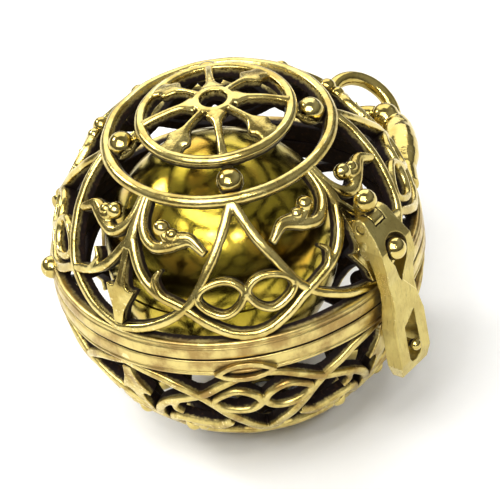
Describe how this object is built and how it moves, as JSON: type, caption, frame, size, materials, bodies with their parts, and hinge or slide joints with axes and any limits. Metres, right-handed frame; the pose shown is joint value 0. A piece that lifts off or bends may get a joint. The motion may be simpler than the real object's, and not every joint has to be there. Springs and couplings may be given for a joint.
{
  "type": "ball cage locket",
  "caption": "Two hinged openwork brass hemispheres around a loose chime ball, with a swinging clasp, a bail loop and a jump ring.",
  "frame": {"origin": "centre of the closed cage, which is the centre of the space that holds the ball", "axes": "+Z from the centre through the pole of the upper half; -Y is the front, and the clasp is 48 degrees round from it towards +X"},
  "size_m": [0.0264, 0.0285, 0.025],
  "materials": {
    "strip_brass": "polished tops, blackened sides",
    "rim_brass": "satin with mottled patina",
    "granule_brass": "polished",
    "hinge_brass": "satin",
    "smooth_brass": "smooth polished",
    "clasp_brass": "brushed satin with fine casting pits",
    "pin_brass": "satin",
    "ball_brass": "mirror polished, slightly planished",
    "chime_steel": "satin"
  },
  "bodies": {
    "lower_half": {"lower_rim_band": "rim_brass", "lower_polar_ring": "strip_brass", "lower_wheel_ring": "strip_brass", "lower_wheel_spokes": "strip_brass", "lower_arches": "strip_brass", "lower_garlands": "strip_brass", "lower_eights": "strip_brass", "lower_scrolls": "strip_brass", "lower_darts": "strip_brass", "lower_granules": "granule_brass", "lower_scroll_beads": "granule_brass", "catch_stud": "granule_brass", "bail_loop": "smooth_brass", "rim_eyelet": "strip_brass", "lower_hinge_knuckles": "hinge_brass", "hinge_pin": "pin_brass"},
    "upper_half": {"upper_rim_band": "rim_brass", "upper_polar_ring": "strip_brass", "upper_wheel_ring": "strip_brass", "upper_wheel_spokes": "strip_brass", "upper_arches": "strip_brass", "upper_garlands": "strip_brass", "upper_eights": "strip_brass", "upper_scrolls": "strip_brass", "upper_darts": "strip_brass", "upper_granules": "granule_brass", "upper_scroll_beads": "granule_brass", "rim_bead": "granule_brass", "clasp_lug": "granule_brass", "keeper_ball": "granule_brass", "upper_hinge_knuckle": "hinge_brass"},
    "clasp": {"clasp_bar": "clasp_brass", "clasp_pin": "pin_brass"},
    "jump_ring": {"jump_ring": "smooth_brass"},
    "chime_ball": {"ball_cup_lower": "ball_brass", "ball_cup_upper": "ball_brass", "chime_plate": "chime_steel", "chime_tines": "chime_steel"},
    "pellet": {"chime_pellet": "chime_steel"}
  },
  "joints": [
    {"name": "lid_hinge", "type": "hinge", "parent": "lower_half", "child": "upper_half", "pos_m": [-0.00903, 0.01003, 0], "axis": [-0.7431, -0.6691, 0], "range_deg": [0, 105]},
    {"name": "clasp_swing", "type": "hinge", "parent": "upper_half", "child": "clasp", "pos_m": [0.00899, -0.0081, 0.0063], "axis": [-0.6691, -0.7431, 0], "range_deg": [0, 78]},
    {"name": "ring_swing", "type": "hinge", "parent": "lower_half", "child": "jump_ring", "pos_m": [0.0097, 0.012, 0], "axis": [1, 0, 0], "range_deg": [-5, 80]},
    {"name": "ball_rattle", "type": "slide", "parent": "lower_half", "child": "chime_ball", "axis": [0.3644, -0.8017, 0.4737], "range_m": [-0.0007, 0.0062]},
    {"name": "pellet_rattle", "type": "slide", "parent": "chime_ball", "child": "pellet", "axis": [0, 0, 1], "range_m": [0, 0.0104]}
  ]
}
